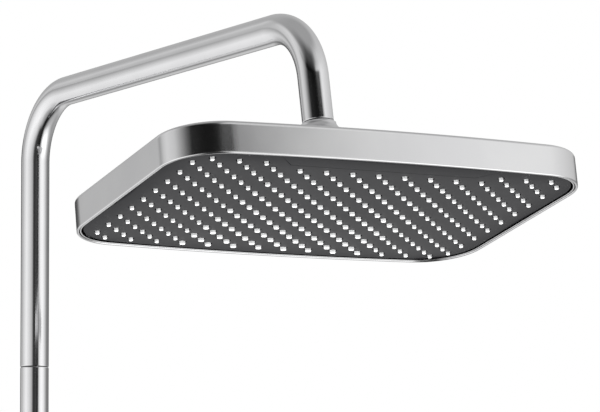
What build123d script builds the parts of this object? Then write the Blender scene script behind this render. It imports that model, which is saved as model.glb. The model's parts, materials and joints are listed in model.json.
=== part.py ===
"""Rainfall shower column: wall bracket, riser, swivelling bent arm, and a rectangular head on a ball joint.

Frame: +Z up, the wall is the plane Y = 0 and the column stands on its -Y side. X runs along the wall.
The origin is on the wall, at the centre of the bracket's plate. All lengths are in millimetres.
"""

import os
from math import atan2, cos, degrees, radians, sin, sqrt

from build123d import *

# ---- driving dimensions: pipework ----
PIPE_R = 11.0  # outer radius of riser and arm
PIPE_WALL = 1.2
PIPE_BORE_R = PIPE_R - PIPE_WALL
BEND_R = 50.0  # centre-line radius of both bends
STANDOFF = 55.0  # wall to riser axis
ARM_Z = 330.0  # arm axis above the bracket
REACH = 386.0  # riser axis to the point where arm axis and drop axis meet
LEAN = 9.9  # the drop leans away from the wall by this many degrees
DROP = 75.0  # from that point to the end of the pipe, along the drop
JOINT_Z = ARM_Z - 210.0  # where the arm tube stands on the riser
RISER_END_Z = ARM_Z - 790.0
RUN_FIT = 0.05  # radial running clearance
SWIVEL = 45.0  # arm swivel each way, in degrees

# ---- driving dimensions: ball joint ----
BALL_AT = 102.9  # ball centre, along the drop from the corner point
BALL_R = 11.0
LINER_GAP = 0.25
LINER_T = 0.9
NECK_R = 6.0
SEAT_R = BALL_R + 2 * LINER_GAP + LINER_T  # spherical seat that holds the liners
HEAD_TURN = -6.7  # the head is stored turned by this much about the vertical
HUB_R = 19.0
HUB_TOP = 8.5

# ---- driving dimensions: head, in its own frame with the ball centre at its origin ----
HEAD_W, HEAD_D, HEAD_H = 312.5, 216.5, 22.9
HEAD_Y = -0.8  # middle of the head's outline from the ball axis
HEAD_CORNER_R = 40.0
LONG_SIDE_BOW = 6.8  # how far the long sides bulge
LIP_Z = -36.5  # lowest edge of the casing
FACE_Z = -36.0  # underside of the spray plate
CASE_WALL = 1.8
CASE_TOP_Z = LIP_Z + HEAD_H
CROWN_Z = -9.0  # top of the casing where the hub stands on it
CROWN_TOP_W, CROWN_TOP_D, CROWN_TOP_R = 96.0, 66.0, 30.0
PITCH = 19.67  # nozzle pitch along and across; a second lattice sits half a pitch off
COLUMNS = 15
NOZZLE_PROUD = 1.8


def cyl(radius, low, high, x=0.0, y=0.0):
    """A cylinder along Z between two heights."""
    return Pos(x, y, (low + high) / 2) * Cylinder(radius, high - low)


def tube(outer, inner, low, high):
    """A straight tube along Z, its bore cut right through."""
    return cyl(outer, low, high) - cyl(inner, low - 1, high + 1)


def ring(major, minor):
    """An O-ring about the Z axis."""
    return Torus(major, minor)


def hexagon(across_flats, low, high):
    """A hexagonal bar along Z."""
    sketch = RegularPolygon(across_flats / 2, 6, major_radius=False)
    return Pos(0, 0, low) * extrude(sketch, amount=high - low)


def spun(points):
    """A solid of revolution about Z from (radius, height) corners."""
    outline = Polyline(*[(r, 0, z) for r, z in points], close=True)
    return revolve(make_face(outline), axis=Axis.Z)


def sphere_zone(radius, thickness, low, high):
    """The part of a spherical shell about the origin between two heights."""
    shell = Sphere(radius + thickness) - Sphere(radius)
    return shell & cyl(2 * radius, low, high)


def save(parts):
    """Writes one STEP file per named part."""
    os.makedirs("parts", exist_ok=True)
    for name, part in parts.items():
        part.label = name
        export_step(part, f"parts/{name}.step")


# ---- places ----
TO_WALL = Rotation(90, 0, 0)  # +Z of a part turned about the wall axis points away from the wall
RISER = Pos(0, -STANDOFF, 0)
CORNER = Vector(0, -STANDOFF - REACH, ARM_Z)
DROP_DIR = Vector(0, -sin(radians(LEAN)), -cos(radians(LEAN)))
BALL = CORNER + DROP_DIR * BALL_AT
# the drop's own frame has the ball centre at its origin and +Z up the pipe
DROP_FRAME = Location(BALL) * Rotation(-LEAN, 0, 0)
HEAD_FRAME = Location(BALL) * Rotation(0, 0, HEAD_TURN) * Rotation(-LEAN, 0, 0)


# ---- wall bracket ----
PLATE_R, PLATE_T = 26.0, 5.0
SPIGOT_R, SPIGOT_END = 9.0, 22.0
FIX_SPACING, FIX_R, FIX_HEAD_R = 34.0, 2.5, 4.8
COVER_R, COVER_H, COVER_T = 30.0, 10.0, 1.2
STEM_R = 12.0
BARREL_R, BARREL_H = 17.0, 26.0
LINER_R = STEM_R
SCREW_R = 2.5
STEM_SCREW_Y = 14.0


def wall_plate():
    plate = cyl(PLATE_R, 0, PLATE_T) + cyl(SPIGOT_R, PLATE_T - 1, SPIGOT_END)
    for side in (-1, 1):
        hole = cyl(FIX_R, -1, PLATE_T + 1, x=side * FIX_SPACING / 2)
        sink = Pos(side * FIX_SPACING / 2, 0, PLATE_T - 1.15) * Cone(FIX_R, FIX_HEAD_R, 2.32)
        plate -= hole + sink
    return TO_WALL * chamfer(plate.edges().filter_by(GeomType.CIRCLE).group_by(Axis.Z)[-1], 1.0)


def wall_cover():
    bore = STEM_R + 1.2
    outer = [(COVER_R, 0), (COVER_R, 3.0), (COVER_R - 1.2, 5.4), (COVER_R - 4.5, 7.6), (bore, COVER_H)]
    inner = [(bore, COVER_H - COVER_T), (COVER_R - 5.0, 6.3), (COVER_R - 2.3, 4.6), (COVER_R - COVER_T, 2.8)]
    return TO_WALL * spun(outer + inner + [(COVER_R - COVER_T, 0)])


def cover_oring():
    return TO_WALL * Pos(0, 0, COVER_H - 0.6) * ring(STEM_R + 0.6, 0.55)


def bracket_body():
    stem = TO_WALL * cyl(STEM_R, PLATE_T + 0.3, STANDOFF - 5)
    barrel = RISER * cyl(BARREL_R, -BARREL_H / 2, BARREL_H / 2)
    barrel = chamfer(barrel.edges().filter_by(GeomType.CIRCLE), 1.2)
    socket = TO_WALL * cyl(SPIGOT_R + RUN_FIT, 0, SPIGOT_END + 0.5)
    bore = RISER * cyl(LINER_R + RUN_FIT, -BARREL_H, BARREL_H)
    stem_thread = Pos(0, -STEM_SCREW_Y, 0) * cyl(SCREW_R, -STEM_R - 1, 0)
    clamp_thread = RISER * Rotation(0, 90, 0) * cyl(SCREW_R, 0, BARREL_R + 1)
    return stem + barrel - socket - bore - stem_thread - clamp_thread


def bracket_liner():
    sleeve = tube(LINER_R, PIPE_R + RUN_FIT, -BARREL_H / 2, BARREL_H / 2)
    slit = Pos(0, -PIPE_R, 0) * Box(1.6, 6, BARREL_H + 2)
    return RISER * (sleeve - slit)


def socket_screw(length):
    """A headless screw along +Z with a hexagon socket in its outer end."""
    key = hexagon(2.5, length - 2.0, length + 1)
    return cyl(SCREW_R - 0.05, 0, length) - key


def stem_screw():
    length = STEM_R - SPIGOT_R - 0.6
    place = Pos(0, -STEM_SCREW_Y, -SPIGOT_R - 0.1) * Rotation(180, 0, 0)
    return place * socket_screw(length)


def clamp_screw():
    return RISER * Rotation(0, 90, 0) * Pos(0, 0, LINER_R + 0.1) * socket_screw(BARREL_R - LINER_R - 0.5)


# ---- riser and its inlet union ----
TAIL_IN_PIPE = 24.0
TAIL_BORE_R = 7.5
SHOULDER_H, FLANGE_R, FLANGE_T = 14.0, 12.6, 3.0
WASHER_T = 2.0
NUT_THREAD_R, NUT_THREAD_L = 13.0, 9.0
NUT_FLATS, NUT_H = 32.0, 20.0
JOINT_GAP = 0.6


def riser_tube():
    return RISER * tube(PIPE_R, PIPE_BORE_R, RISER_END_Z, JOINT_Z - JOINT_GAP / 2)


def inlet_tail():
    body = cyl(PIPE_BORE_R - RUN_FIT, -1, TAIL_IN_PIPE) + cyl(PIPE_R, -SHOULDER_H, 0)
    body += cyl(FLANGE_R, -SHOULDER_H - FLANGE_T, -SHOULDER_H)
    body -= cyl(TAIL_BORE_R, -40, 40)
    return RISER * Pos(0, 0, RISER_END_Z) * body


def inlet_washer():
    top = -SHOULDER_H - FLANGE_T
    return RISER * Pos(0, 0, RISER_END_Z) * tube(FLANGE_R, TAIL_BORE_R, top - WASHER_T, top)


def inlet_nut():
    seat = -SHOULDER_H + 0.15
    mouth = seat - FLANGE_T - WASHER_T - NUT_THREAD_L - 0.15
    nut = hexagon(NUT_FLATS, mouth, mouth + NUT_H)
    nut &= cyl(NUT_FLATS / 2 + 1.6, mouth, mouth + NUT_H)
    nut -= cyl(PIPE_R + 0.3, mouth, mouth + NUT_H + 1)
    nut -= cyl(NUT_THREAD_R, mouth - 1, mouth + NUT_THREAD_L + 0.01)
    nut -= cyl(NUT_THREAD_R + 0.4, mouth + NUT_THREAD_L, seat)
    return RISER * Pos(0, 0, RISER_END_Z) * nut


# ---- swivel joint between riser and arm ----
SLEEVE_R = PIPE_BORE_R - RUN_FIT
SLEEVE_BORE_R = 7.0
SLEEVE_DOWN, SLEEVE_UP = 30.0, 44.0
GROOVE_W, GROOVE_DEPTH = 2.4, 1.2
GROOVE_HEIGHTS = (10.0, 18.0)
STOP_SCREW_R, STOP_SCREW_UP = 2.0, 32.0
STOP_FLOOR_R = SLEEVE_R - 1.4
STOP_HALF_ANGLE = SWIVEL + degrees(atan2(STOP_SCREW_R + 0.1, STOP_FLOOR_R))


def stop_sector():
    """The arc-shaped pocket on the wall side of the sleeve that the stop screw runs in."""
    far = 3 * SLEEVE_R
    edge = [(far * cos(a), far * sin(a)) for a in stop_angles()]
    wedge = extrude(make_face(Polyline((0, 0), *edge, close=True)), amount=2 * STOP_SCREW_R + 0.4)
    band = tube(SLEEVE_R + 1, STOP_FLOOR_R, -10, 10)
    return Pos(0, 0, STOP_SCREW_UP - STOP_SCREW_R - 0.2) * (wedge & band)


def stop_angles():
    """Directions of the pocket's ends and middle, in radians from +X."""
    return [radians(90 + part * STOP_HALF_ANGLE) for part in (-1, 0, 1)]


def joint_sleeve():
    body = tube(SLEEVE_R, SLEEVE_BORE_R, -SLEEVE_DOWN, SLEEVE_UP)
    body = chamfer(body.edges().filter_by(GeomType.CIRCLE).group_by(Axis.Z)[-1], 0.6)
    for height in GROOVE_HEIGHTS:
        groove = tube(SLEEVE_R + 1, SLEEVE_R - GROOVE_DEPTH, height - GROOVE_W / 2, height + GROOVE_W / 2)
        body -= groove
    return RISER * Pos(0, 0, JOINT_Z) * (body - stop_sector())


def joint_orings():
    minor = GROOVE_DEPTH / 2 - 0.01
    rings = [Pos(0, 0, height) * ring(SLEEVE_R - GROOVE_DEPTH / 2, minor) for height in GROOVE_HEIGHTS]
    return RISER * Pos(0, 0, JOINT_Z) * Compound(children=rings)


def joint_washer():
    half = JOINT_GAP / 2
    return RISER * Pos(0, 0, JOINT_Z) * tube(PIPE_R - 0.35, SLEEVE_R + 0.1, -half, half - 0.05)


def stop_screw():
    screw = cyl(STOP_SCREW_R, STOP_FLOOR_R + 0.2, PIPE_R - 0.2) - hexagon(2.0, PIPE_R - 1.4, PIPE_R + 1)
    return RISER * Pos(0, 0, JOINT_Z + STOP_SCREW_UP) * Rotation(-90, 0, 0) * screw


# ---- bent arm tube and its outlet ----
NIPPLE_IN_PIPE = 20.0
NIPPLE_R, NIPPLE_BORE_R, NIPPLE_L = 8.3, 6.0, 8.4
SEAM_T = 0.8


def arm_path():
    start = Vector(0, -STANDOFF, JOINT_Z + JOINT_GAP / 2)
    top = Vector(0, -STANDOFF, ARM_Z)
    return FilletPolyline(start, top, CORNER, CORNER + DROP_DIR * DROP, radius=BEND_R)


def arm_tube():
    path = arm_path()
    ends = Plane(origin=path @ 0, z_dir=path % 0)
    outside = sweep(ends * Circle(PIPE_R), path=path)
    inside = sweep(ends * Circle(PIPE_BORE_R), path=path)
    hole = RISER * Pos(0, 0, JOINT_Z + STOP_SCREW_UP) * Rotation(-90, 0, 0) * cyl(STOP_SCREW_R + 0.05, 0, 20)
    return outside - inside - hole


def along_drop(distance):
    """Height in the drop's frame of a point at this distance from the corner point."""
    return BALL_AT - distance


def outlet_nipple():
    end = along_drop(DROP)
    body = cyl(PIPE_BORE_R - RUN_FIT, end, end + NIPPLE_IN_PIPE) + cyl(NIPPLE_R, end - NIPPLE_L, end + 1)
    return DROP_FRAME * (body - cyl(NIPPLE_BORE_R, end - 20, end + 40))


def outlet_washer():
    end = along_drop(DROP)
    return DROP_FRAME * tube(PIPE_R - 0.45, NIPPLE_R + 0.1, end - SEAM_T, end)


# ---- ball joint ----
COLLAR_R, COLLAR_H = 18.0, 12.3
SOCKET_DEPTH = 9.6
BALL_BORE_R = 4.0
SCREEN_R = NIPPLE_R - 0.1


def ball_fitting():
    top = along_drop(DROP) - SEAM_T
    floor = top - SOCKET_DEPTH
    low = top - COLLAR_H
    flare = [(PIPE_R + 0.2, top), (PIPE_R + 4.4, top - 3.6)]
    flare += [(COLLAR_R - 1.0, top - 6.0), (COLLAR_R, top - 8.0)]
    under = [(COLLAR_R, low + 1.1), (COLLAR_R - 1.6, low), (NECK_R, low), (NECK_R, 0)]
    collar = spun(flare + under + [(0, 0), (0, top)])
    body = collar + Sphere(BALL_R)
    body -= cyl(NIPPLE_R + RUN_FIT, floor, top + 1) + cyl(BALL_BORE_R, -20, 20)
    return DROP_FRAME * (body - cyl(2 * BALL_R, -3 * BALL_R, -BALL_R + 0.8))


def flow_limiter():
    floor = along_drop(DROP) - SEAM_T - SOCKET_DEPTH
    disc = cyl(SCREEN_R, floor, floor + 0.9)
    ports = [Rotation(0, 0, 60 * i) * cyl(1.0, floor - 1, floor + 2, x=2.3) for i in range(6)]
    return DROP_FRAME * (disc - ports)


def inlet_screen():
    low = along_drop(DROP) - SEAM_T - SOCKET_DEPTH + 0.95
    disc = cyl(SCREEN_R, low, low + 0.5)
    slots = [Pos(0, 1.6 * i, low) * Box(2 * sqrt(36.0 - (1.6 * i) ** 2), 0.7, 4) for i in range(-3, 4)]
    return DROP_FRAME * (disc - slots)


def seat_ring():
    return DROP_FRAME * sphere_zone(BALL_R + LINER_GAP, LINER_T, 1.5, 7.4)


def ball_seal():
    return DROP_FRAME * sphere_zone(BALL_R + LINER_GAP, LINER_T, -8.0, -1.5)


# ---- hub on top of the head ----
BODY_R = 15.0
SPIGOT_BORE_R, SPIGOT_OUT_R = 5.0, 9.0
FLANGE_LOW, FLANGE_HIGH = CROWN_Z, CROWN_Z + 2.6
SPIGOT_TOP, SPIGOT_LOW, SPIGOT_RING_Z = -20.0, -28.4, -23.4
SEAT_SPLIT = 1.0


def ball_socket():
    body = cyl(BODY_R, SPIGOT_TOP, SEAT_SPLIT) + cyl(HUB_R, FLANGE_LOW, FLANGE_HIGH)
    body += cyl(SPIGOT_OUT_R, SPIGOT_LOW, SPIGOT_TOP)
    groove = tube(SPIGOT_OUT_R + 1, SPIGOT_OUT_R - 1.0, SPIGOT_RING_Z - 0.8, SPIGOT_RING_Z + 0.8)
    return HEAD_FRAME * (body - Sphere(SEAT_R) - cyl(SPIGOT_BORE_R, -40, 0) - groove)


def retaining_nut():
    nut = cyl(HUB_R, FLANGE_HIGH + 0.2, HUB_TOP)
    nut = chamfer(nut.edges().filter_by(GeomType.CIRCLE).group_by(Axis.Z)[-1], 2.2)
    for i in range(24):
        nut -= Rotation(0, 0, 15 * i) * cyl(0.9, FLANGE_HIGH, HUB_TOP - 3.4, x=HUB_R + 0.35)
    mouth = sqrt(SEAT_R**2 - HUB_TOP**2)
    nut -= cyl(BODY_R + RUN_FIT, -20, SEAT_SPLIT + 0.05) + Sphere(SEAT_R) + cyl(mouth, 0, 20)
    return HEAD_FRAME * nut


def spigot_oring():
    return HEAD_FRAME * Pos(0, 0, SPIGOT_RING_Z) * ring(SPIGOT_OUT_R - 0.48, 0.48)


def cover_locknut():
    high = CROWN_Z - CASE_WALL - 0.3
    nut = hexagon(38.0, high - 4.5, high) - cyl(BODY_R + RUN_FIT, -40, 0)
    return HEAD_FRAME * nut


# ---- head outline and casing ----
def outline(inset=0.0):
    """The head's plan outline, moved in by a distance: straight short sides, bowed long sides."""
    x, y = HEAD_W / 2 - inset, HEAD_D / 2 - inset
    shoulder = y - LONG_SIDE_BOW
    sides = [
        ThreePointArc((-x, -shoulder), (0, -y), (x, -shoulder)),
        Line((x, -shoulder), (x, shoulder)),
        ThreePointArc((x, shoulder), (0, y), (-x, shoulder)),
        Line((-x, shoulder), (-x, -shoulder)),
    ]
    face = make_face(sides)
    return Pos(0, HEAD_Y) * fillet(face.vertices(), HEAD_CORNER_R - inset)


def slab(inset, low, high):
    """A plate with the head's outline between two heights."""
    return Pos(0, 0, low) * extrude(outline(inset), amount=high - low)


def crown(inset, low, high):
    """The shallow rise from the casing's edge to the hub."""
    foot = Pos(0, 0, low) * outline(inset)
    top = Pos(0, 0, high) * fillet(Rectangle(CROWN_TOP_W, CROWN_TOP_D).vertices(), CROWN_TOP_R)
    return loft([foot, top])


def head_case():
    wall = slab(0, LIP_Z, CASE_TOP_Z)
    wall = fillet(wall.edges().group_by(Axis.Z)[-1], 2.5)
    shell = fillet(wall.edges().group_by(Axis.Z)[0], 0.8) + crown(4.0, CASE_TOP_Z - 0.01, CROWN_Z)
    inner = slab(CASE_WALL, LIP_Z - 1, CASE_TOP_Z - CASE_WALL)
    inner += crown(4.0 + CASE_WALL, CASE_TOP_Z - CASE_WALL - 0.01, CROWN_Z - CASE_WALL)
    return HEAD_FRAME * (shell - inner - cyl(BODY_R + RUN_FIT, -40, 20))


# ---- spray assembly ----
BEZEL_OUT, BEZEL_IN = CASE_WALL + 0.1, 3.9
PLATE_INSET, PLATE_TOP = 4.7, -33.8
MAT_T = 1.2
TRAY_INSET = 7.0
TRAY_TOP = -26.6
TRAY_FLANGE = 11.0
SEAL_W = 2.0
HOLE_R, RECESS_R, RECESS_DEPTH = 1.75, 2.5, 0.7
ROUND_R, JET_R = 1.42, 0.45
TAB_BACK_Y, TAB_FRONT_Y = -87.0, -101.2
TAB_BACK_HALF, TAB_FRONT_HALF = 69.5, 83.0
TAB_SEAM = 0.35
SCREW_INSET = 9.0


def screw_places():
    """Middles of the tray's screws, all the same distance inside the outline."""
    for side in (-1, 1):
        for x in (-105, -88, 88, 105):
            bow = LONG_SIDE_BOW * (2 * x / HEAD_W) ** 2
            yield x, HEAD_Y + side * (HEAD_D / 2 - bow - SCREW_INSET)
        for y in (-50, 50):
            yield side * (HEAD_W / 2 - SCREW_INSET), y


def lattice():
    """Nozzle places: full rows and half-pitch rows; the front row leaves room for the tab."""
    half = (COLUMNS - 1) / 2
    for row in range(9):
        for column in range(COLUMNS):
            yield (column - half) * PITCH, (4.0 - row) * PITCH
    for row in range(10):
        for column in range(COLUMNS - 1):
            if row == 9 and 3 <= column <= 10:
                continue
            yield (column + 0.5 - half) * PITCH, (4.5 - row) * PITCH


def nozzle_length(x, y):
    """Overall length of a nozzle along X: round outside, widening towards the wall in the middle."""
    if abs(x) > 3.6 * PITCH:
        return 2 * ROUND_R
    share = (y / PITCH + 4.5) / 9.0
    return 3.1 + 1.2 * share


def nozzle_shape(x, y, grow=0.0):
    """The plan shape of one nozzle, or of the hole around it."""
    length = nozzle_length(x, y)
    if length - 2 * ROUND_R < 0.1:
        return Pos(x, y) * Circle(ROUND_R + grow)
    return Pos(x, y) * SlotOverall(length + 2 * grow, 2 * (ROUND_R + grow))


def nozzle_field(grow=0.0):
    """All nozzle shapes as one sketch."""
    return Sketch() + [nozzle_shape(x, y, grow) for x, y in lattice()]


def tab_outline(grow=0.0):
    back, front = TAB_BACK_Y + grow, TAB_FRONT_Y - grow
    corners = [(-TAB_FRONT_HALF - grow, front), (TAB_FRONT_HALF + grow, front)]
    corners += [(TAB_BACK_HALF + grow, back), (-TAB_BACK_HALF - grow, back)]
    return make_face(Polyline(*corners, close=True))


def face_bezel():
    band = slab(BEZEL_OUT, LIP_Z + 0.5, PLATE_TOP) - slab(BEZEL_IN, LIP_Z - 1, PLATE_TOP + 1)
    return HEAD_FRAME * band


def spray_plate():
    holes = nozzle_field(HOLE_R - ROUND_R)
    recesses = nozzle_field(RECESS_R - ROUND_R)
    step = FACE_Z + RECESS_DEPTH
    body = Pos(0, 0, step) * extrude(outline(PLATE_INSET) - holes, amount=PLATE_TOP - step)
    skin = Pos(0, 0, FACE_Z) * extrude(outline(PLATE_INSET) - recesses, amount=RECESS_DEPTH)
    tab_room = Pos(0, 0, FACE_Z - 1) * extrude(tab_outline(TAB_SEAM), amount=2.4)
    pilots = [cyl(1.1, PLATE_TOP - 1.4, PLATE_TOP + 1, x, y) for x, y in screw_places()]
    return HEAD_FRAME * (body + skin - tab_room - pilots)


def front_tab():
    return HEAD_FRAME * Pos(0, 0, FACE_Z) * extrude(tab_outline(), amount=1.3)


def nozzle_mat():
    jets = Sketch() + [Pos(x, y) * Circle(JET_R) for x, y in lattice()]
    sheet = outline(TRAY_FLANGE) - jets
    stems = nozzle_field() - jets
    tip = FACE_Z - NOZZLE_PROUD
    body = Pos(0, 0, PLATE_TOP) * extrude(sheet, amount=MAT_T)
    return HEAD_FRAME * (body + Pos(0, 0, tip) * extrude(stems, amount=PLATE_TOP - tip))


def chamber_tray():
    floor = PLATE_TOP + MAT_T
    tray = slab(TRAY_INSET, PLATE_TOP, PLATE_TOP + 2.4) + slab(TRAY_FLANGE + 0.5, floor, TRAY_TOP)
    tray -= slab(TRAY_FLANGE - 0.2, PLATE_TOP - 1, floor)
    tray -= slab(TRAY_FLANGE + SEAL_W + 2.0, floor - 1, TRAY_TOP - 2.0)
    seal_out, seal_in = TRAY_FLANGE + 1.0, TRAY_FLANGE + 1.0 + SEAL_W
    tray -= slab(seal_out, floor - 1, floor + 1.3) - slab(seal_in, floor - 1, floor + 1.3)
    tray += cyl(SPIGOT_OUT_R + 4, TRAY_TOP - 2.0, -21.0)
    tray -= cyl(SPIGOT_OUT_R + RUN_FIT, -40, 0)
    screws = [cyl(1.3, PLATE_TOP - 1, TRAY_TOP + 1, x, y) for x, y in screw_places()]
    return HEAD_FRAME * (tray - screws)


def chamber_seal():
    floor = PLATE_TOP + MAT_T
    outer, inner = TRAY_FLANGE + 1.1, TRAY_FLANGE + 0.9 + SEAL_W
    band = slab(outer, floor, floor + 1.2) - slab(inner, floor - 1, floor + 3)
    return HEAD_FRAME * band


def chamber_screws():
    top = PLATE_TOP + 2.4
    screw = cyl(1.05, PLATE_TOP - 1.2, top + 0.5) + cyl(1.9, top, top + 1.8)
    screw -= hexagon(2.0, top + 0.8, top + 3)
    return HEAD_FRAME * Compound(children=[Pos(x, y, 0) * screw for x, y in screw_places()])


MAKERS = [
    wall_plate, wall_cover, cover_oring, bracket_body, bracket_liner, stem_screw, clamp_screw,
    riser_tube, inlet_tail, inlet_washer, inlet_nut, joint_sleeve, joint_orings, joint_washer, stop_screw,
    arm_tube, outlet_nipple, outlet_washer, ball_fitting, flow_limiter, inlet_screen, seat_ring, ball_seal,
    ball_socket, retaining_nut, spigot_oring, cover_locknut, head_case, face_bezel, spray_plate, front_tab,
    nozzle_mat, chamber_tray, chamber_seal, chamber_screws,
]

save({maker.__name__: maker() for maker in MAKERS})
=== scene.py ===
"""Looks of the rainfall shower column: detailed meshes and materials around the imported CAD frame.

Everything is in the CAD's own frame: +Z up, the wall is Y = 0, the column stands on its -Y side.
Shapes are written in millimetres and turned into metres as each mesh is made.
"""

import json
import math

import bmesh
import bpy
from mathutils import Matrix, Vector


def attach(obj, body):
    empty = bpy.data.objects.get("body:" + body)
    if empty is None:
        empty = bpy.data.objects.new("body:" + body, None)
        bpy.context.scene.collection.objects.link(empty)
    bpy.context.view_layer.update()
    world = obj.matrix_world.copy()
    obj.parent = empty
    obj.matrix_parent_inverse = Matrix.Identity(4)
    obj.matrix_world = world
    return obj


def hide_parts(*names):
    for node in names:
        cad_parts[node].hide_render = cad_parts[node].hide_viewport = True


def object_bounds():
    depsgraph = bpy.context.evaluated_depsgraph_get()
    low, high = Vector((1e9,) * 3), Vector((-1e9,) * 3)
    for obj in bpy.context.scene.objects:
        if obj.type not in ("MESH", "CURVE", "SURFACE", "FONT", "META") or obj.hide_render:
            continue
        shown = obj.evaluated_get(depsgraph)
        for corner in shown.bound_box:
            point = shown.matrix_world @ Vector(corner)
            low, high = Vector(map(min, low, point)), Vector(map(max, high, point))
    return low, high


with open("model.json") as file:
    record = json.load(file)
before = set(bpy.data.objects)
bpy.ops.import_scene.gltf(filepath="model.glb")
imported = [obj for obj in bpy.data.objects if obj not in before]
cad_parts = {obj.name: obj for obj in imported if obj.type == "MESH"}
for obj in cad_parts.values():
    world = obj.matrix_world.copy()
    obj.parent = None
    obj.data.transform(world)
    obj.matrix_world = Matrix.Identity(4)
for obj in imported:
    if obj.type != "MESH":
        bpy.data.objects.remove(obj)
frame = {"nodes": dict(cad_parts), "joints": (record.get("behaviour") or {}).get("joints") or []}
CAD_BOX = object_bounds()
MM = 0.001
JOINT = {joint["name"]: joint for joint in frame["joints"]}

# ---- the camera, the lamps and the floor, in metres, degrees, millimetres of lens and watts ----
CAMERA_AT = Vector((-1.42223, -2.59242, -0.16585))
CAMERA_AZIMUTH, CAMERA_ELEVATION, CAMERA_ROLL = map(math.radians, (-33.34, -8.06, 0.34))
CAMERA_LENS = 225.6
FLOOR_HALF = 14.0
LAMP_BELOW = {"place": (0.0, -0.6), "height": 0.02, "size": 1.1, "power": 15.0}
LAMP_ABOVE = {"place": (-0.3, -0.7, 2.2), "aim": (0.0, -0.3, 0.0), "size": 1.6, "power": 45.0}

# ---- sizes shared with the CAD, in millimetres ----
PIPE_R, BORE_R, BEND_R = 11.0, 9.8, 50.0
STANDOFF, ARM_Z, REACH, LEAN = 55.0, 330.0, 386.0, 9.9
DROP, BALL_AT = 75.0, 102.9
JOINT_Z, JOINT_GAP, RISER_END_Z = 120.0, 0.6, -460.0
HEAD_TURN = -6.7
HEAD_W, HEAD_D, HEAD_Y, CORNER_R, BOW = 312.5, 216.5, -0.8, 40.0, 6.8
LIP_Z, FACE_Z, CASE_TOP_Z, CROWN_Z, CASE_WALL = -36.5, -36.0, -13.6, -9.0, 1.8
PLATE_TOP, RECESS, NOZZLE_PROUD = -33.8, 0.7, 1.8
DOME_SPAN_X, DOME_SPAN_Y = 130.0, 80.0
DOME_Y2, DOME_X4, DOME_Y4, DOME_LOW = 0.5, 0.7, 0.24, 0.6  # rise at one span, and the middle's depth
CROWN_TOP_HALF_W, CROWN_TOP_HALF_D, CROWN_TOP_R, HUB_HOLE_R = 48.0, 33.0, 30.0, 15.1
NUT_R, NUT_GROOVES, GROOVE_R, GROOVE_CENTRE = 19.0, 24, 0.9, 0.35
PITCH, COLUMNS = 19.67, 15
ROUND_R, JET_R = 1.42, 0.45

BALL = Vector(JOINT["head_tilt_front"]["pos_m"])
DROP_PLACE = Matrix.Translation(BALL) @ Matrix.Rotation(math.radians(-LEAN), 4, "X")
HEAD_PLACE = (
    Matrix.Translation(BALL)
    @ Matrix.Rotation(math.radians(HEAD_TURN), 4, "Z")
    @ Matrix.Rotation(math.radians(-LEAN), 4, "X")
)
WALL_PLACE = Matrix.Rotation(math.radians(90), 4, "X")


# ---------------------------------------------------------------- camera, floor and studio

def add_camera():
    """A long lens, low and to the left of the column, looking a little upward."""
    data = bpy.data.cameras.new("camera")
    data.lens, data.sensor_width = CAMERA_LENS, 36.0
    data.clip_end = 200.0
    camera = bpy.data.objects.new("camera", data)
    az, el = CAMERA_AZIMUTH, CAMERA_ELEVATION
    ahead = Vector((-math.sin(az) * math.cos(el), math.cos(az) * math.cos(el), -math.sin(el)))
    right = ahead.cross(Vector((0, 0, 1))).normalized()
    up = right.cross(ahead)
    basis = Matrix((right, up, -ahead)).transposed()
    roll = Matrix.Rotation(-CAMERA_ROLL, 3, "Z")
    camera.matrix_world = Matrix.Translation(CAMERA_AT) @ (basis @ roll).to_4x4()
    bpy.context.scene.collection.objects.link(camera)
    bpy.context.scene.camera = camera


class Graph:
    """A node tree written as nested calls."""

    def __init__(self, tree):
        self.tree = tree

    def add(self, kind, settings=(), **inputs):
        """A node; inputs are sockets or values by name, with _ for a space or a number for an index."""
        node = self.tree.nodes.new("ShaderNode" + kind)
        for key, value in dict(settings).items():
            setattr(node, key, value)
        for key, value in inputs.items():
            name = key.replace("_", " ")
            socket = node.inputs[int(key[1:])] if key[0] == "i" and key[1:].isdigit() else node.inputs[name]
            if isinstance(value, bpy.types.NodeSocket):
                self.tree.links.new(value, socket)
            else:
                socket.default_value = value
        return node

    def math(self, operation, a, b=0.0, c=0.0):
        node = self.add("Math", {"operation": operation}, i0=a, i1=b, i2=c)
        return node.outputs[0]

    def dot(self, a, direction):
        return self.add("VectorMath", {"operation": "DOT_PRODUCT"}, i0=a, i1=direction).outputs["Value"]

    def ramp(self, value, stops, blend="EASE"):
        """A colour ramp; stops are (position, grey or colour)."""
        node = self.add("ValToRGB", Fac=value)
        node.color_ramp.interpolation = blend
        elements = node.color_ramp.elements
        while len(elements) < len(stops):
            elements.new(0.5)
        for element, (position, colour) in zip(elements, stops):
            element.position = position
            grey = not hasattr(colour, "__len__")
            element.color = (colour, colour, colour, 1.0) if grey else (*colour, 1.0)
        return node.outputs["Color"]

    def mix(self, share, a, b):
        node = self.add("Mix", {"data_type": "RGBA"}, i0=share, i6=a, i7=b)
        return node.outputs[2]

    def step(self, value, low, high):
        """0 at low, 1 at high, smooth between and level beyond; low may be the larger."""
        flip = low > high
        ends = {"i1": min(low, high), "i2": max(low, high), "i3": float(flip), "i4": float(not flip)}
        node = self.add("MapRange", {"interpolation_type": "SMOOTHSTEP"}, i0=value, **ends)
        return node.outputs[0]


def azimuth_stops(*pairs):
    """Ramp stops from (degrees to the right of the direction towards the camera, light)."""
    return [((degrees + 180.0) / 360.0, light) for degrees, light in pairs]


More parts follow.
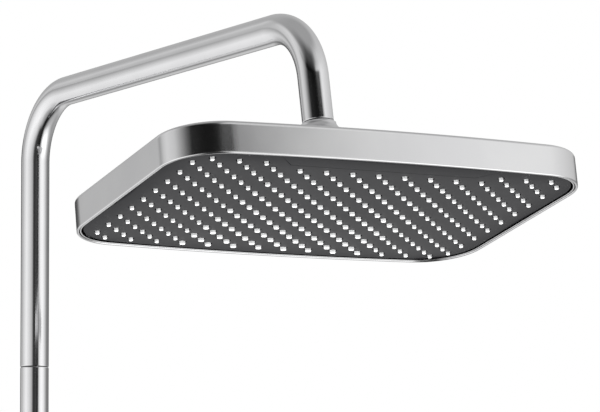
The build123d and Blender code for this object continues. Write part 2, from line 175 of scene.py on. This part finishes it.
def add_studio():
    """White to the camera; reflections see a room that is dark behind the camera, with light walls."""
    world = bpy.data.worlds.new("studio")
    bpy.context.scene.world = world
    world.use_nodes = True
    tree = world.node_tree
    tree.nodes.clear()
    g = Graph(tree)
    way = g.add("TexCoord").outputs["Generated"]
    az = CAMERA_AZIMUTH
    right = (math.cos(az), math.sin(az), 0.0)
    back = (math.sin(az), -math.cos(az), 0.0)
    turn = g.math("ARCTAN2", g.dot(way, right), g.dot(way, back))
    around = g.math("MULTIPLY_ADD", turn, 0.5 / math.pi, 0.5)
    height = g.math("MULTIPLY", g.math("ARCSINE", g.dot(way, (0, 0, 1))), 180.0 / math.pi)
    # Each ramp is one height of the room, from near the floor (deep) up to the ceiling (upper).
    deep = g.ramp(around, azimuth_stops(
        (-180, 0.30), (-172, 0.16), (-165, 0.05), (-158, 0.07), (-152, 0.26), (-144, 0.44), (-128, 0.64),
        (-98, 0.86), (-68, 0.86), (-38, 0.60), (-23, 0.34), (-10, 0.05), (22, 0.01), (32, 0.05),
        (42, 0.52), (54, 0.95), (82, 1.00), (112, 0.54), (142, 0.46), (160, 0.46), (180, 0.30)), "LINEAR")
    below = g.ramp(around, azimuth_stops(
        (-180, 0.68), (-173, 0.62), (-168, 0.46), (-163, 0.22), (-158, 0.48), (-150, 0.72), (-138, 0.80),
        (-120, 0.88), (-68, 1.06), (-38, 0.78), (-20, 0.45), (-9, 0.06), (4, 0.035), (22, 0.012), (32, 0.03),
        (41, 0.75), (60, 1.55), (84, 1.35), (104, 0.60), (124, 0.34), (152, 0.40), (180, 0.68)), "LINEAR")
    near = g.ramp(around, azimuth_stops(
        (-180, 0.02), (-148, 0.02), (-139, 0.16), (-132, 0.47), (-125, 0.52), (-117, 0.33), (-106, 0.56),
        (-86, 0.76), (-68, 0.95), (-40, 0.74), (-18, 0.46), (-9, 0.06), (0, 0.03), (12, 0.07), (22, 0.03),
        (31, 0.03), (41, 0.75), (48, 0.95), (68, 1.00), (84, 0.78), (104, 0.42), (122, 0.16), (136, 0.22),
        (180, 0.02)), "LINEAR")
    high = g.ramp(around, azimuth_stops(
        (-180, 0.48), (-146, 0.44), (-134, 0.50), (-126, 0.64), (-120, 0.54), (-115, 0.48), (-109, 0.62),
        (-96, 0.72), (-76, 0.60), (-60, 0.30), (-50, 0.13), (-40, 0.02), (-14, 0.015), (4, 0.03), (13, 0.08),
        (19, 0.24), (25, 0.55), (46, 0.72), (64, 0.82), (90, 0.74), (120, 0.64), (150, 0.55),
        (180, 0.48)), "LINEAR")
    rim = g.ramp(around, azimuth_stops(
        (-90, 0.50), (-60, 0.28), (-48, 0.02), (-42, 0.004), (40, 0.004), (45, 0.10), (48, 0.29), (52, 0.50),
        (57, 0.72), (64, 0.84), (76, 0.82), (110, 0.66)), "LINEAR")
    upper = g.ramp(around, azimuth_stops(
        (-180, 0.46), (-150, 0.44), (-90, 0.34), (-62, 0.20), (-36, 0.08), (0, 0.07), (12, 0.12), (24, 0.26),
        (38, 0.52), (66, 0.66), (110, 0.60), (180, 0.46)), "LINEAR")
    light = g.mix(g.step(height, -52.0, -34.0), deep, below)
    level = g.add("MapRange", i0=height, i1=-18.0, i2=10.0).outputs[0]
    light = g.mix(level, light, near)
    light = g.mix(g.step(height, 9.5, 13.0), light, high)
    front = g.math("MULTIPLY", g.step(turn, -1.45, -1.2), g.step(turn, 1.8, 1.5))
    between = g.math("MULTIPLY", g.step(height, 24.0, 26.0), g.step(height, 31.5, 29.0))
    band = g.math("MULTIPLY", between, front)
    light = g.mix(g.step(height, 30.0, 44.0), light, upper)
    light = g.mix(band, light, rim)
    light = g.mix(g.step(height, 44.0, 70.0), light, (0.36, 0.36, 0.36, 1.0))
    beside = math.radians(104.0)
    aside = g.dot(way, [b * math.cos(beside) + r * math.sin(beside) for b, r in zip(back, right)])
    under = g.ramp(g.math("MULTIPLY_ADD", aside, 0.5, 0.5), [
        (0.20, 0.50), (0.36, 0.36), (0.43, 0.10), (0.46, 0.01), (0.54, 0.01), (0.58, 0.10), (0.66, 0.42),
        (0.80, 0.50)], "LINEAR")
    light = g.mix(g.step(height, -50.0, -68.0), light, under)
    path = g.add("LightPath").outputs["Is Camera Ray"]
    shown = g.mix(path, light, (1.0, 1.0, 1.0, 1.0))
    ground = g.add("Background", Color=shown, Strength=1.0)
    out = g.add("OutputWorld", Surface=ground.outputs[0])
    out.is_active_output = True
    bpy.context.scene.view_settings.view_transform = "Standard"


def add_floor():
    lowest = CAD_BOX[0][2]
    mesh = bpy.data.meshes.new("floor")
    f = FLOOR_HALF
    mesh.from_pydata([(-f, -f, lowest), (f, -f, lowest), (f, f, lowest), (-f, f, lowest)], [], [(0, 1, 2, 3)])
    floor = bpy.data.objects.new("floor", mesh)
    bpy.context.scene.collection.objects.link(floor)
    material = bpy.data.materials.new("floor")
    material.use_nodes = True
    g = Graph(material.node_tree)
    shader = material.node_tree.nodes["Principled BSDF"]
    where = g.add("TexCoord").outputs["Object"]
    cloud = g.add("TexNoise", Vector=where, Scale=3.0, Detail=3.0).outputs["Fac"]
    colour = g.ramp(cloud, [(0.3, (0.86, 0.86, 0.86)), (0.7, (0.90, 0.90, 0.90))])
    material.node_tree.links.new(colour, shader.inputs["Base Color"])
    shader.inputs["Roughness"].default_value = 0.7
    mesh.materials.append(material)
    floor.visible_glossy = False


def add_lamp(name, place, aim, size, power):
    """A large soft lamp that lights matt surfaces without showing in the chrome."""
    data = bpy.data.lights.new(name, "AREA")
    data.shape, data.size, data.energy = "DISK", size, power
    lamp = bpy.data.objects.new(name, data)
    place, aim = Vector(place), Vector(aim)
    facing = (aim - place).to_track_quat("-Z", "Y").to_matrix().to_4x4()
    lamp.matrix_world = Matrix.Translation(place) @ facing
    lamp.visible_camera = False
    lamp.visible_glossy = False
    bpy.context.scene.collection.objects.link(lamp)


# ---------------------------------------------------------------- materials

def material(name, finish):
    """A procedural material; finish(graph, shader, where) sets it up."""
    made = bpy.data.materials.new(name)
    made.use_nodes = True
    g = Graph(made.node_tree)
    shader = made.node_tree.nodes["Principled BSDF"]
    finish(g, shader, g.add("TexCoord").outputs["Object"])
    return made


def noise(g, where, scale, detail=4.0, stretch=(1, 1, 1)):
    """Noise by real size: scale is in features per metre."""
    spot = g.add("Mapping", Vector=where, Scale=stretch).outputs[0]
    return g.add("TexNoise", Vector=spot, Scale=scale, Detail=detail).outputs["Fac"]


def finished(colours, roughs, grain, bump, metallic=0.0, stretch=(1, 1, 1), cloud=25.0, **uniform):
    """Colour and roughness vary with soft clouds; a fine grain lies in the bump."""
    def finish(g, shader, where):
        soft = noise(g, where, cloud, 5.0)
        fine = noise(g, where, grain, 3.0, stretch)
        links = g.tree.links
        links.new(g.ramp(soft, [(0.3, colours[0]), (0.7, colours[1])]), shader.inputs["Base Color"])
        mixed = g.math("MULTIPLY_ADD", fine, 0.35, g.math("MULTIPLY", soft, 0.65))
        spread = g.add("MapRange", i0=mixed, i1=0.3, i2=0.7, i3=roughs[0], i4=roughs[1]).outputs[0]
        links.new(spread, shader.inputs["Roughness"])
        relief = g.add("Bump", Strength=bump[0], Distance=bump[1], Height=fine)
        links.new(relief.outputs["Normal"], shader.inputs["Normal"])
        shader.inputs["Metallic"].default_value = metallic
        for key, value in uniform.items():
            shader.inputs[key.replace("_", " ")].default_value = value
    return finish


def satin_face_with_painted_shade(g, shader, where):
    """Satin dark plastic with painted shade: its specular level is turned down towards the casing and in the
    nozzles' recesses, where shade falls.
    """
    satin = finished(
        ((0.009, 0.009, 0.010), (0.013, 0.013, 0.014)), (0.34, 0.46), 2600.0, (0.15, 0.00004))
    satin(g, shader, where)
    turned_back = HEAD_PLACE.inverted()
    x = g.math("ADD", g.dot(where, turned_back[0][:3]), turned_back[0][3])
    y = g.math("ADD", g.dot(where, turned_back[1][:3]), turned_back[1][3] - HEAD_Y * MM)
    # Painted shade: the distance from the casing's rim becomes a specular level that falls towards the rim.
    aside = g.math("SUBTRACT", HEAD_W / 2 * MM, g.math("ABSOLUTE", x))
    bow = g.math("MULTIPLY", g.math("MULTIPLY", x, x), BOW * MM / (HEAD_W / 2 * MM) ** 2)
    half_depth = g.math("SUBTRACT", HEAD_D / 2 * MM, bow)
    ahead = g.math("SUBTRACT", half_depth, g.math("ABSOLUTE", y))
    inside = g.math("SMOOTH_MIN", aside, ahead, 0.012)
    share = g.add("MapRange", {"interpolation_type": "SMOOTHSTEP"},
                  i0=inside, i1=0.003, i2=0.032, i3=0.06, i4=0.22)
    z = g.math("ADD", g.dot(where, turned_back[2][:3]), turned_back[2][3])
    across, along = g.math("MULTIPLY", x, x), g.math("MULTIPLY", y, y)
    x_fourth, y_fourth = g.math("MULTIPLY", across, across), g.math("MULTIPLY", along, along)
    rise = g.math("MULTIPLY_ADD", x_fourth, DOME_X4 * MM / (DOME_SPAN_X * MM) ** 4, -DOME_LOW * MM)
    rise = g.math("MULTIPLY_ADD", y_fourth, DOME_Y4 * MM / (DOME_SPAN_Y * MM) ** 4, rise)
    rise = g.math("MULTIPLY_ADD", along, DOME_Y2 * MM / (DOME_SPAN_Y * MM) ** 2, rise)
    depth = g.math("SUBTRACT", z, rise)
    # Painted shade: the specular level goes to nothing in the nozzles' recesses and is lowered near the rim.
    specular_with_painted_shade = g.math("MULTIPLY", g.step(depth, (FACE_Z + 0.42) * MM, (FACE_Z + 0.3) * MM), share.outputs[0])
    g.tree.links.new(specular_with_painted_shade, shader.inputs["Specular IOR Level"])


LOOKS = {
    "pipe_chrome": finished(
        ((0.86, 0.86, 0.87), (0.90, 0.90, 0.91)), (0.085, 0.125), 900.0, (0.05, 0.00002), 1.0),
    "fitting_chrome": finished(
        ((0.86, 0.86, 0.87), (0.90, 0.90, 0.91)), (0.05, 0.09), 900.0, (0.05, 0.00002), 1.0),
    "case_chrome": finished(
        ((0.85, 0.85, 0.86), (0.90, 0.90, 0.905)), (0.10, 0.14), 900.0, (0.05, 0.00002), 1.0),
    "spray_face": satin_face_with_painted_shade,
    "silicone": finished(
        ((0.90, 0.91, 0.91), (0.95, 0.955, 0.955)), (0.32, 0.45), 1800.0, (0.10, 0.00003),
        Subsurface_Weight=0.2, Subsurface_Scale=0.001, Subsurface_Radius=(1.0, 1.0, 1.0)),
    "black_rubber": finished(
        ((0.012, 0.012, 0.013), (0.022, 0.022, 0.023)), (0.5, 0.7), 3000.0, (0.2, 0.00004)),
    "brass": finished(
        ((0.74, 0.56, 0.27), (0.82, 0.64, 0.34)), (0.22, 0.34), 1200.0, (0.2, 0.00003), 1.0, (1, 1, 6)),
    "steel": finished(
        ((0.52, 0.52, 0.53), (0.62, 0.62, 0.63)), (0.25, 0.38), 1400.0, (0.2, 0.00003), 1.0),
    "grey_plastic": finished(
        ((0.26, 0.27, 0.28), (0.33, 0.34, 0.35)), (0.4, 0.55), 2200.0, (0.15, 0.00004)),
}


# ---------------------------------------------------------------- mesh making

def soften(profile, radius, steps=4):
    """Rounds every corner of a closed outline, keeping a point either side to hold the flats."""
    made = []
    for i, corner in enumerate(profile):
        before, after = Vector(profile[i - 1]), Vector(profile[(i + 1) % len(profile)])
        corner = Vector(corner)
        sides = []
        for other in (before, after):
            span = other - corner
            reach = min(radius, 0.45 * span.length)
            sides.append((span.normalized(), reach, span.length))
        (a, ra, la), (b, rb, lb) = sides
        if la > 4 * ra:
            made.append(corner + a * ra * 1.6)
        for k in range(steps + 1):
            t = k / steps
            made.append(corner + a * ra * (1 - t) ** 2 + b * rb * t**2)
        if lb > 4 * rb:
            made.append(corner + b * rb * 1.6)
    return [tuple(point) for point in made]


def skin(rings, loop=True):
    """Points and quads between successive rings; with loop the last ring joins the first."""
    n = len(rings[0])
    points = [point for ring in rings for point in ring]
    faces = []
    pairs = len(rings) if loop else len(rings) - 1
    for r in range(pairs):
        a, b = r * n, ((r + 1) % len(rings)) * n
        for k in range(n):
            m = (k + 1) % n
            faces.append((a + k, a + m, b + m, b + k))
    return points, faces


def circle(radius, z, count, wave=None):
    """A ring of points about Z; wave(turn) is taken off the radius."""
    ring = []
    for k in range(count):
        turn = 2 * math.pi * k / count
        r = radius - (wave(turn) if wave else 0.0)
        ring.append((r * math.cos(turn), r * math.sin(turn), z))
    return ring


def turned(profile, count=128):
    """A closed body of revolution about Z from (radius, height) corners."""
    return skin([circle(r, z, count) for r, z in profile])


def piece(name, shape, body, replaced, slot, place=None):
    """Makes one shown piece from millimetre points, outward-facing, on its CAD body."""
    points, faces = shape
    mesh = bpy.data.meshes.new(name)
    mesh.from_pydata([Vector(point) * MM for point in points], [], faces)
    bm = bmesh.new()
    bm.from_mesh(mesh)
    bmesh.ops.recalc_face_normals(bm, faces=bm.faces)
    for face in bm.faces:
        face.smooth = True
    bm.to_mesh(mesh)
    bm.free()
    if place is not None:
        mesh.transform(place)
    made = bpy.data.objects.new(name, mesh)
    bpy.context.scene.collection.objects.link(made)
    mesh.materials.append(MATERIALS[slot])
    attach(made, body)
    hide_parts(*replaced)
    return made


# ---------------------------------------------------------------- pipes

def path_rings(stations, profile, count=112):
    """Rings of a closed profile of (station index, radius) swept along a path of (point, along) in YZ."""
    rings = []
    for station, radius in profile:
        point, along = stations[station]
        side = Vector((1, 0, 0))
        up = side.cross(along)
        ring = []
        for k in range(count):
            turn = 2 * math.pi * k / count
            ring.append(point + radius * (math.cos(turn) * side + math.sin(turn) * up))
        rings.append(ring)
    return rings


def straight(start, end, count):
    along = (end - start).normalized()
    return [(start.lerp(end, k / count), along) for k in range(count + 1)]


def bend(corner, into, out, radius, count):
    """Stations round one bend, without its two ends."""
    angle = into.angle(out)
    reach = radius * math.tan(angle / 2)
    start = corner - into * reach
    centre = start + (out - into * into.dot(out)).normalized() * radius
    axis = into.cross(out).normalized()
    made = []
    for k in range(1, count):
        spin = Matrix.Rotation(angle * k / count, 3, axis)
        made.append((centre + spin @ (start - centre), spin @ into))
    return made, start, corner + out * reach


def tube_piece(name, stations, body, replaced, edge=0.35):
    """An open pipe with rounded ends along its stations."""
    first, last = 0, len(stations) - 1
    ends = []
    for at, step in ((first, 1), (last, -1)):
        point, along = stations[at]
        ends.append([(point + along * step * edge * share, along) for share in (0.0, 0.3, 1.0, 2.0)])
    inner = stations[1:-1]
    path = ends[0] + inner + ends[1][::-1]
    n = len(path)
    outside = [(0, PIPE_R - edge), (1, PIPE_R - 0.3 * edge)] + [(k, PIPE_R) for k in range(2, n - 2)]
    outside += [(n - 2, PIPE_R - 0.3 * edge), (n - 1, PIPE_R - edge)]
    inside = [(n - 1, BORE_R + 0.2)] + [(k, BORE_R) for k in range(n - 2, 0, -1)] + [(0, BORE_R + 0.2)]
    return piece(name, skin(path_rings(path, outside + inside)), body, replaced, "pipe_chrome")


def make_pipes():
    up = Vector((0, 0, 1))
    out = Vector((0, -1, 0))
    drop = Vector((0, -math.sin(math.radians(LEAN)), -math.cos(math.radians(LEAN))))
    foot = Vector((0, -STANDOFF, RISER_END_Z))
    tube_piece("riser_pipe", straight(foot, Vector((0, -STANDOFF, JOINT_Z - JOINT_GAP / 2)), 12),
               "column", ["riser_tube"])
    top = Vector((0, -STANDOFF, ARM_Z))
    corner = top + out * REACH
    first, first_in, first_out = bend(top, up, out, BEND_R, 40)
    second, second_in, second_out = bend(corner, out, drop, BEND_R, 40)
    start = Vector((0, -STANDOFF, JOINT_Z + JOINT_GAP / 2))
    stations = straight(start, first_in, 6) + first + straight(first_out, second_in, 8)
    stations += second + straight(second_out, corner + drop * DROP, 3)
    tube_piece("arm_pipe", stations, "arm", ["arm_tube"])


# ---------------------------------------------------------------- head

def plan(inset, z, half_w=HEAD_W / 2, half_d=HEAD_D / 2, radius=CORNER_R, bow=BOW, middle=HEAD_Y):
    """The head's outline moved in by inset, at one height, as 256 points."""
    x, y, r = half_w - inset, half_d - inset, max(radius - inset, 0.5)
    big = (x * x + bow * bow) / (2 * bow) if bow else 0.0
    cx = x - r
    cy = (y - big + math.sqrt((big - r) ** 2 - cx * cx)) if bow else y - r
    lean = math.atan2(cx, cy - (y - big)) if bow else 0.0
    quarter = [(x, cy * k / 8) for k in range(0, 8)]
    sweep = math.pi / 2 - lean
    quarter += [(cx + r * math.cos(sweep * k / 24), cy + r * math.sin(sweep * k / 24)) for k in range(0, 24)]
    for k in range(0, 33):
        if bow:
            turn = lean * (1 - k / 32)
            quarter.append((big * math.sin(turn), y - big + big * math.cos(turn)))
        else:
            quarter.append((cx * (1 - k / 32), y))
    ring = quarter[:-1]
    ring += [(-px, py) for px, py in reversed(quarter[1:])]
    ring += [(-px, -py) for px, py in quarter[:-1]]
    ring += [(px, -py) for px, py in reversed(quarter[1:])]
    return [(px, py + middle, z) for px, py in ring]


def blend_rings(a, b, share, z):
    return [(p[0] + (q[0] - p[0]) * share, p[1] + (q[1] - p[1]) * share, z) for p, q in zip(a, b)]


def crown_rings(inset, low, high, hole, count=14):
    """Rings over the shallow crown from the casing's edge to the hub's hole."""
    foot = plan(inset, low)
    shrink = 0.3 * inset
    top = plan(0.0, high, CROWN_TOP_HALF_W - shrink, CROWN_TOP_HALF_D - shrink, CROWN_TOP_R, 0.0, 0.0)
    eye = []
    for px, py, _ in top:
        far = math.hypot(px, py)
        eye.append((hole * px / far, hole * py / far, high))
    rings = []
    for k in range(count + 1):
        t = k / count
        ease = t - 0.12 * math.sin(2 * math.pi * t)
        rings.append(blend_rings(foot, top, t, low + (high - low) * ease))
    for share in (0.03, 0.5, 0.97, 1.0):
        rings.append(blend_rings(top, eye, share, high - (0.15 if share == 1.0 else 0.0)))
    return rings


def make_case():
    rings = []
    half = CASE_WALL / 2
    lip = [(CASE_WALL, LIP_Z + 3.0)]
    for k in range(17):
        turn = math.pi * k / 16
        lip.append((half + half * math.cos(turn), LIP_Z + half - half * math.sin(turn)))
    lip += [(0.0, LIP_Z + 1.6), (0.0, LIP_Z + 8.0), (0.0, CASE_TOP_Z - 6.0), (0.0, CASE_TOP_Z - 3.4)]
    rings += [plan(inset, z) for inset, z in lip]
    for k in range(9):
        turn = math.pi / 2 * k / 8
        rings.append(plan(2.5 - 2.5 * math.cos(turn), CASE_TOP_Z - 2.5 + 2.5 * math.sin(turn)))
    rings.append(plan(3.2, CASE_TOP_Z))
    rings += crown_rings(4.0, CASE_TOP_Z, CROWN_Z, HUB_HOLE_R)
    under = crown_rings(4.0 + CASE_WALL, CASE_TOP_Z - CASE_WALL, CROWN_Z - CASE_WALL, HUB_HOLE_R)
    rings += under[::-1]
    rings.append(plan(CASE_WALL + 0.6, CASE_TOP_Z - CASE_WALL))
    rings.append(plan(CASE_WALL, CASE_TOP_Z - CASE_WALL - 0.6))
    piece("head_shell", skin(rings), "head", ["head_case"], "case_chrome", HEAD_PLACE)


def make_bezel():
    section = [(3.2, LIP_Z + 0.75), (2.3, LIP_Z + 0.75), (2.3, PLATE_TOP), (3.2, PLATE_TOP)]
    rings = [plan(inset, z) for inset, z in soften(section, 0.3)]
    piece("bezel_ring", skin(rings), "head", ["face_bezel"], "case_chrome", HEAD_PLACE)


def dome(x, y):
    """How far the spray face rises from its middle towards its rim."""
    across, along = x / DOME_SPAN_X, y / DOME_SPAN_Y
    return DOME_Y2 * along**2 + DOME_X4 * across**4 + DOME_Y4 * along**4 - DOME_LOW


def domed_copy(name, node, slot, top):
    """The node's mesh as a new piece, with its underside following the dome."""
    source = frame["nodes"][node].data
    bm = bmesh.new()
    bm.from_mesh(source)
    bmesh.ops.remove_doubles(bm, verts=bm.verts, dist=2e-6)
    back = HEAD_PLACE.inverted()
    points = []
    for vert in bm.verts:
        x, y, z = (back @ vert.co) / MM
        share = min(max((top - z) / (top - FACE_Z), 0.0), 1.0)
        points.append((x, y, z + dome(x, y) * share))
    bm.verts.index_update()
    faces = [tuple(v.index for v in face.verts) for face in bm.faces]
    bm.free()
    made = piece(name, (points, faces), "head", [node], slot, HEAD_PLACE)
    sharpen(made, 35.0)
    return made


def sharpen(made, degrees):
    """Marks edges that turn by more than this as sharp, so flats stay flat."""
    bm = bmesh.new()
    bm.from_mesh(made.data)
    for edge in bm.edges:
        if len(edge.link_faces) == 2 and edge.calc_face_angle(0.0) > math.radians(degrees):
            edge.smooth = False
    bm.to_mesh(made.data)
    bm.free()


def lattice():
    """Nozzle places: full rows, and rows half a pitch off; the front row leaves room for the tab."""
    half = (COLUMNS - 1) / 2
    for row in range(9):
        for column in range(COLUMNS):
            yield (column - half) * PITCH, (4.0 - row) * PITCH
    for row in range(10):
        for column in range(COLUMNS - 1):
            if row == 9 and 3 <= column <= 10:
                continue
            yield (column + 0.5 - half) * PITCH, (4.5 - row) * PITCH


def nozzle_slack(x, y):
    """Half of a nozzle's straight part along X: none at the sides, growing towards the wall."""
    if abs(x) > 3.6 * PITCH:
        return 0.0
    share = (y / PITCH + 4.5) / 9.0
    return (3.1 + 1.2 * share) / 2 - ROUND_R


def make_nozzles():
    """Soft nozzles with rounded tips and a jet hole, on their common sheet."""
    points, faces = [], []
    count = 24
    for x, y in lattice():
        slack, rise = nozzle_slack(x, y), dome(x, y)
        tip, root = FACE_Z - NOZZLE_PROUD + rise, FACE_Z + RECESS + rise + 0.6
        levels = [(ROUND_R + 0.12, root, 1), (ROUND_R + 0.12, root - 0.5, 1), (ROUND_R + 0.02, root - 1.0, 1),
                  (ROUND_R, tip + 0.75, 1), (ROUND_R - 0.04, tip + 0.42, 1), (ROUND_R - 0.14, tip + 0.18, 1),
                  (ROUND_R - 0.32, tip + 0.04, 1), (ROUND_R - 0.52, tip, 1), (JET_R + 0.18, tip, 0.3),
                  (JET_R + 0.04, tip + 0.05, 0), (JET_R, tip + 0.2, 0), (JET_R, tip + 1.9, 0)]
        base = len(points)
        for radius, z, part in levels:
            for k in range(count):
                turn = 2 * math.pi * (k + 0.5) / count
                side = slack * part * (1 if math.cos(turn) > 0 else -1)
                points.append((x + side + radius * math.cos(turn), y + radius * math.sin(turn), z))
        for level in range(len(levels) - 1):
            a, b = base + level * count, base + (level + 1) * count
            for k in range(count):
                m = (k + 1) % count
                faces.append((a + k, a + m, b + m, b + k))
        last = base + (len(levels) - 1) * count
        faces.append(tuple(range(base, base + count)))
        faces.append(tuple(range(last, last + count)))
    rim = [plan(11.0, PLATE_TOP), plan(11.0, PLATE_TOP + 1.2)]
    base = len(points)
    n = len(rim[0])
    points += rim[0] + rim[1]
    faces += [(base + k, base + (k + 1) % n, base + n + (k + 1) % n, base + n + k) for k in range(n)]
    faces += [tuple(range(base, base + n)), tuple(range(base + n, base + 2 * n))]
    made = piece("nozzles", (points, faces), "head", ["nozzle_mat"], "silicone", HEAD_PLACE)
    sharpen(made, 50.0)


# ---------------------------------------------------------------- ball joint and hub

def make_fitting():
    """The flared collar under the pipe, its neck and the ball, bored through."""
    top = BALL_AT - DROP - 0.8
    low = top - 12.3
    flare = [(10.6, top), (11.9, top - 0.15), (12.4, top - 0.6), (12.7, top - 2.0), (13.1, top - 3.2),
             (14.2, top - 4.8), (16.0, top - 6.4), (17.4, top - 7.7), (18.0, top - 9.0), (18.0, low + 1.2),
             (17.4, low + 0.35), (16.6, low)]
    ball = []
    for k in range(17):
        turn = math.radians(56.9 - k * (56.9 + 68.5) / 16)
        ball.append((11.0 * math.cos(turn), 11.0 * math.sin(turn)))
    neck = [(7.0, low), (6.2, low - 0.5), (6.0, low - 1.2), (6.0, 9.9)]
    bore = [(4.0, -10.2), (4.0, 15.0), (8.35, 15.4), (8.35, top)]
    shape = turned(flare + neck + ball + bore)
    made = piece("ball_collar", shape, "arm", ["ball_fitting"], "fitting_chrome", DROP_PLACE)
    sharpen(made, 40.0)


def make_retaining_nut():
    """A chamfered ring with finger grooves round it."""
    low, high = -6.2, 8.5

    def groove(turn):
        part = (turn * NUT_GROOVES / (2 * math.pi) + 0.5) % 1.0 - 0.5
        side = abs(part) * 2 * math.pi / NUT_GROOVES * NUT_R
        return max(0.0, math.sqrt(max(0.0, GROOVE_R**2 - side * side)) - GROOVE_CENTRE)

    def level(radius, z, wave=None):
        return circle(radius, z, 384, wave)

    rings = [level(17.7, low), level(18.7, low + 0.15, groove), level(NUT_R, low + 0.6, groove),
             level(NUT_R, high - 3.9, groove), level(NUT_R, high - 3.3), level(NUT_R, high - 2.4),
             level(NUT_R - 0.3, high - 2.0), level(NUT_R - 1.8, high - 0.4), level(NUT_R - 2.3, high - 0.08),
             level(NUT_R - 2.8, high), level(10.2, high), level(9.72, high - 0.25)]
    for z in (6.5, 4.5, 2.5, 1.2):
        rings.append(level(math.sqrt(12.42**2 - z * z), z))
    rings += [level(HUB_HOLE_R, 1.0), level(HUB_HOLE_R, low)]
    made = piece("hub_nut", skin(rings), "head", ["retaining_nut"], "fitting_chrome", HEAD_PLACE)
    sharpen(made, 40.0)


def make_wall_cover():
    outer = [(30.0, 0.0), (30.0, 3.0), (28.8, 5.4), (25.5, 7.6), (13.2, 10.0)]
    inner = [(13.2, 8.8), (25.0, 6.3), (27.7, 4.6), (28.8, 2.8), (28.8, 0.0)]
    shape = turned(soften(outer + inner, 1.2, 5))
    piece("cover_shell", shape, "column", ["wall_cover"], "fitting_chrome", WALL_PLACE)


# ---------------------------------------------------------------- all together

add_camera()
add_studio()
add_floor()
floor_z = CAD_BOX[0][2]
below_x, below_y = LAMP_BELOW["place"]
add_lamp("lamp_below", (below_x, below_y, floor_z + LAMP_BELOW["height"]), (below_x, below_y, 2.0),
         LAMP_BELOW["size"], LAMP_BELOW["power"])
add_lamp("lamp_above", LAMP_ABOVE["place"], LAMP_ABOVE["aim"], LAMP_ABOVE["size"], LAMP_ABOVE["power"])
MATERIALS = {name: material(name, finish) for name, finish in LOOKS.items()}
make_pipes()
make_case()
make_bezel()
domed_copy("face_plate", "spray_plate", "spray_face", PLATE_TOP)
domed_copy("tab_plate", "front_tab", "spray_face", PLATE_TOP)
make_nozzles()
make_fitting()
make_retaining_nut()
make_wall_cover()

FINISH = {
    "pipe_chrome": (),
    "fitting_chrome": ("wall_plate", "bracket_body", "inlet_nut", "ball_socket"),
    "brass": ("inlet_tail", "joint_sleeve", "outlet_nipple", "cover_locknut"),
    "steel": ("stem_screw", "clamp_screw", "stop_screw", "inlet_screen", "chamber_screws"),
    "black_rubber": ("cover_oring", "inlet_washer", "joint_orings", "joint_washer", "outlet_washer",
                     "spigot_oring", "chamber_seal", "ball_seal"),
    "grey_plastic": ("bracket_liner", "flow_limiter", "seat_ring", "chamber_tray"),
}
for look, nodes in FINISH.items():
    for node in nodes:
        mesh = frame["nodes"][node].data
        mesh.materials.clear()
        mesh.materials.append(MATERIALS[look])
